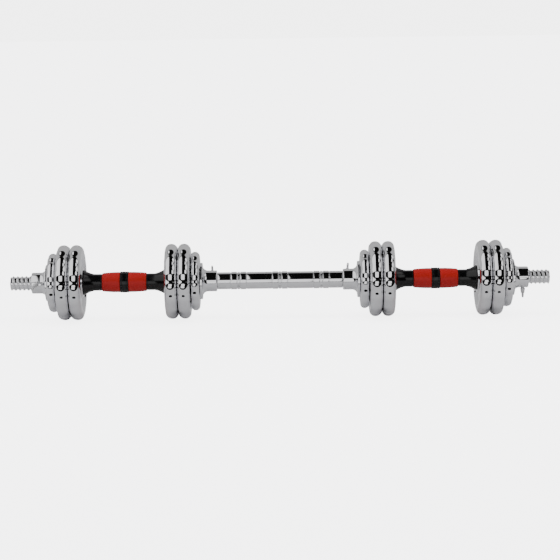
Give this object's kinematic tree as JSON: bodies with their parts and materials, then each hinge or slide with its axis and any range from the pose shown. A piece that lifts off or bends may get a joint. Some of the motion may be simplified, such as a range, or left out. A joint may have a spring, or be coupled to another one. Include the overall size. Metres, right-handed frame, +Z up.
{
  "type": "adjustable dumbbell pair with connecting rod",
  "caption": "Two adjustable dumbbells with stacked round plates and screw collars, joined end to end by a threaded connecting rod to work as one barbell.",
  "frame": {"origin": "on the floor, below the middle of the connecting rod", "axes": "+X along the bars from the left dumbbell to the right one, +Z up"},
  "size_m": [0.9462, 0.133, 0.133],
  "materials": {
    "polished_chrome": "mirror chrome",
    "plate_chrome": "mirror chrome over cast iron",
    "bar_steel": "bright chromed steel",
    "ring_steel": "satin",
    "screw_steel": "bright zinc",
    "black_plastic": "gloss",
    "red_rubber": "soft, finely textured",
    "black_rubber": "matte"
  },
  "bodies": {
    "rod": {"connecting_rod": "polished_chrome"},
    "left_inner_ring": {"left_inner_stop_ring": "ring_steel"},
    "left_bar": {"left_threaded_bar": "bar_steel", "left_grip_band": "black_plastic", "left_outer_stop_ring": "ring_steel", "left_inner_grip_sleeve": "red_rubber", "left_inner_grip_flare": "black_plastic", "left_outer_grip_sleeve": "red_rubber", "left_outer_grip_flare": "black_plastic"},
    "left_outer_large_plate_1": {"left_outer_large_plate_1": "plate_chrome"},
    "left_outer_large_plate_2": {"left_outer_large_plate_2": "plate_chrome"},
    "left_outer_small_plate": {"left_outer_small_plate": "plate_chrome"},
    "left_outer_washer": {"left_outer_rubber_washer": "black_rubber"},
    "left_outer_collar": {"left_outer_collar": "polished_chrome"},
    "left_outer_wing_screw": {"left_outer_wing_screw": "screw_steel"},
    "left_inner_large_plate_1": {"left_inner_large_plate_1": "plate_chrome"},
    "left_inner_large_plate_2": {"left_inner_large_plate_2": "plate_chrome"},
    "left_inner_small_plate": {"left_inner_small_plate": "plate_chrome"},
    "left_inner_washer": {"left_inner_rubber_washer": "black_rubber"},
    "left_inner_collar": {"left_inner_collar": "polished_chrome"},
    "left_inner_wing_screw": {"left_inner_wing_screw": "screw_steel"},
    "right_inner_ring": {"right_inner_stop_ring": "ring_steel"},
    "right_bar": {"right_threaded_bar": "bar_steel", "right_grip_band": "black_plastic", "right_outer_stop_ring": "ring_steel", "right_inner_grip_sleeve": "red_rubber", "right_inner_grip_flare": "black_plastic", "right_outer_grip_sleeve": "red_rubber", "right_outer_grip_flare": "black_plastic"},
    "right_outer_large_plate_1": {"right_outer_large_plate_1": "plate_chrome"},
    "right_outer_large_plate_2": {"right_outer_large_plate_2": "plate_chrome"},
    "right_outer_small_plate": {"right_outer_small_plate": "plate_chrome"},
    "right_outer_washer": {"right_outer_rubber_washer": "black_rubber"},
    "right_outer_collar": {"right_outer_collar": "polished_chrome"},
    "right_outer_wing_screw": {"right_outer_wing_screw": "screw_steel"},
    "right_inner_large_plate_1": {"right_inner_large_plate_1": "plate_chrome"},
    "right_inner_large_plate_2": {"right_inner_large_plate_2": "plate_chrome"},
    "right_inner_small_plate": {"right_inner_small_plate": "plate_chrome"},
    "right_inner_washer": {"right_inner_rubber_washer": "black_rubber"},
    "right_inner_collar": {"right_inner_collar": "polished_chrome"},
    "right_inner_wing_screw": {"right_inner_wing_screw": "screw_steel"}
  },
  "joints": [
    {"name": "left_dumbbell_travel", "type": "slide", "parent": "rod", "child": "left_inner_ring", "axis": [-1, 0, 0], "range_m": [0, 0.03572]},
    {"name": "left_dumbbell_spin", "type": "hinge", "parent": "left_inner_ring", "child": "left_bar", "pos_m": [-0.2731, 0, 0.0665], "axis": [-1, 0, 0], "range_deg": [0, 1710]},
    {"name": "left_outer_large_plate_1_slide", "type": "slide", "parent": "left_bar", "child": "left_outer_large_plate_1", "axis": [-1, 0, 0], "range_m": [0, 0.0421]},
    {"name": "left_outer_large_plate_2_slide", "type": "slide", "parent": "left_bar", "child": "left_outer_large_plate_2", "axis": [-1, 0, 0], "range_m": [0, 0.0481]},
    {"name": "left_outer_small_plate_slide", "type": "slide", "parent": "left_bar", "child": "left_outer_small_plate", "axis": [-1, 0, 0], "range_m": [0, 0.0541]},
    {"name": "left_outer_collar_travel", "type": "slide", "parent": "left_bar", "child": "left_outer_washer", "axis": [-1, 0, 0], "range_m": [0, 0.06]},
    {"name": "left_outer_collar_spin", "type": "hinge", "parent": "left_outer_washer", "child": "left_outer_collar", "pos_m": [-0.2731, 0, 0.0665], "axis": [-1, 0, 0], "range_deg": [0, 2881]},
    {"name": "left_inner_large_plate_1_slide", "type": "slide", "parent": "left_bar", "child": "left_inner_large_plate_1", "axis": [1, 0, 0], "range_m": [0, 0.0181]},
    {"name": "left_inner_large_plate_2_slide", "type": "slide", "parent": "left_bar", "child": "left_inner_large_plate_2", "axis": [1, 0, 0], "range_m": [0, 0.0231]},
    {"name": "left_inner_small_plate_slide", "type": "slide", "parent": "left_bar", "child": "left_inner_small_plate", "axis": [1, 0, 0], "range_m": [0, 0.0281]},
    {"name": "left_inner_collar_travel", "type": "slide", "parent": "left_bar", "child": "left_inner_washer", "axis": [1, 0, 0], "range_m": [0, 0.03385]},
    {"name": "left_inner_collar_spin", "type": "hinge", "parent": "left_inner_washer", "child": "left_inner_collar", "pos_m": [-0.2731, 0, 0.0665], "axis": [1, 0, 0], "range_deg": [0, 1621]},
    {"name": "right_dumbbell_travel", "type": "slide", "parent": "rod", "child": "right_inner_ring", "axis": [1, 0, 0], "range_m": [0, 0.03572]},
    {"name": "right_dumbbell_spin", "type": "hinge", "parent": "right_inner_ring", "child": "right_bar", "pos_m": [0.2731, 0, 0.0665], "axis": [1, 0, 0], "range_deg": [0, 1710]},
    {"name": "right_outer_large_plate_1_slide", "type": "slide", "parent": "right_bar", "child": "right_outer_large_plate_1", "axis": [1, 0, 0], "range_m": [0, 0.0421]},
    {"name": "right_outer_large_plate_2_slide", "type": "slide", "parent": "right_bar", "child": "right_outer_large_plate_2", "axis": [1, 0, 0], "range_m": [0, 0.0481]},
    {"name": "right_outer_small_plate_slide", "type": "slide", "parent": "right_bar", "child": "right_outer_small_plate", "axis": [1, 0, 0], "range_m": [0, 0.0541]},
    {"name": "right_outer_collar_travel", "type": "slide", "parent": "right_bar", "child": "right_outer_washer", "axis": [1, 0, 0], "range_m": [0, 0.06]},
    {"name": "right_outer_collar_spin", "type": "hinge", "parent": "right_outer_washer", "child": "right_outer_collar", "pos_m": [0.2731, 0, 0.0665], "axis": [1, 0, 0], "range_deg": [0, 2881]},
    {"name": "right_inner_large_plate_1_slide", "type": "slide", "parent": "right_bar", "child": "right_inner_large_plate_1", "axis": [-1, 0, 0], "range_m": [0, 0.0181]},
    {"name": "right_inner_large_plate_2_slide", "type": "slide", "parent": "right_bar", "child": "right_inner_large_plate_2", "axis": [-1, 0, 0], "range_m": [0, 0.0231]},
    {"name": "right_inner_small_plate_slide", "type": "slide", "parent": "right_bar", "child": "right_inner_small_plate", "axis": [-1, 0, 0], "range_m": [0, 0.0281]},
    {"name": "right_inner_collar_travel", "type": "slide", "parent": "right_bar", "child": "right_inner_washer", "axis": [-1, 0, 0], "range_m": [0, 0.03385]},
    {"name": "right_inner_collar_spin", "type": "hinge", "parent": "right_inner_washer", "child": "right_inner_collar", "pos_m": [0.2731, 0, 0.0665], "axis": [-1, 0, 0], "range_deg": [0, 1621]},
    {"name": "left_outer_wing_screw_turn", "type": "hinge", "parent": "left_outer_collar", "child": "left_outer_wing_screw", "pos_m": [-0.42685, 0, 0.0665], "axis": [0, -1, 0], "range_deg": [0, 720]},
    {"name": "left_inner_wing_screw_turn", "type": "hinge", "parent": "left_inner_collar", "child": "left_inner_wing_screw", "pos_m": [-0.11935, 0, 0.0665], "axis": [0, 0.9272, 0.3746], "range_deg": [0, 720]},
    {"name": "right_inner_wing_screw_turn", "type": "hinge", "parent": "right_inner_collar", "child": "right_inner_wing_screw", "pos_m": [0.11935, 0, 0.0665], "axis": [0, 0.8829, 0.4695], "range_deg": [0, 720]},
    {"name": "right_outer_wing_screw_turn", "type": "hinge", "parent": "right_outer_collar", "child": "right_outer_wing_screw", "pos_m": [0.42685, 0, 0.0665], "axis": [0, 0, -1], "range_deg": [0, 720]}
  ],
  "couplings": [
    {"joint": "left_dumbbell_travel", "follows": "left_dumbbell_spin", "m_per_rad": 0.0011937},
    {"joint": "left_outer_large_plate_1_slide", "follows": "left_outer_collar_travel", "ratio": 0.7},
    {"joint": "left_outer_large_plate_2_slide", "follows": "left_outer_collar_travel", "ratio": 0.8},
    {"joint": "left_outer_small_plate_slide", "follows": "left_outer_collar_travel", "ratio": 0.9},
    {"joint": "left_outer_collar_spin", "follows": "left_outer_collar_travel", "rad_per_m": 837.76},
    {"joint": "left_inner_large_plate_1_slide", "follows": "left_dumbbell_spin", "m_per_rad": 0.00060311},
    {"joint": "left_inner_large_plate_2_slide", "follows": "left_dumbbell_spin", "m_per_rad": 0.00077064},
    {"joint": "left_inner_small_plate_slide", "follows": "left_dumbbell_spin", "m_per_rad": 0.00093818},
    {"joint": "left_inner_collar_travel", "follows": "left_dumbbell_spin", "m_per_rad": 0.0011308},
    {"joint": "left_inner_collar_spin", "follows": "left_dumbbell_spin", "ratio": 0.94737},
    {"joint": "right_dumbbell_travel", "follows": "right_dumbbell_spin", "m_per_rad": 0.0011937},
    {"joint": "right_outer_large_plate_1_slide", "follows": "right_outer_collar_travel", "ratio": 0.7},
    {"joint": "right_outer_large_plate_2_slide", "follows": "right_outer_collar_travel", "ratio": 0.8},
    {"joint": "right_outer_small_plate_slide", "follows": "right_outer_collar_travel", "ratio": 0.9},
    {"joint": "right_outer_collar_spin", "follows": "right_outer_collar_travel", "rad_per_m": 837.76},
    {"joint": "right_inner_large_plate_1_slide", "follows": "right_dumbbell_spin", "m_per_rad": 0.00060311},
    {"joint": "right_inner_large_plate_2_slide", "follows": "right_dumbbell_spin", "m_per_rad": 0.00077064},
    {"joint": "right_inner_small_plate_slide", "follows": "right_dumbbell_spin", "m_per_rad": 0.00093818},
    {"joint": "right_inner_collar_travel", "follows": "right_dumbbell_spin", "m_per_rad": 0.0011308},
    {"joint": "right_inner_collar_spin", "follows": "right_dumbbell_spin", "ratio": 0.94737}
  ]
}
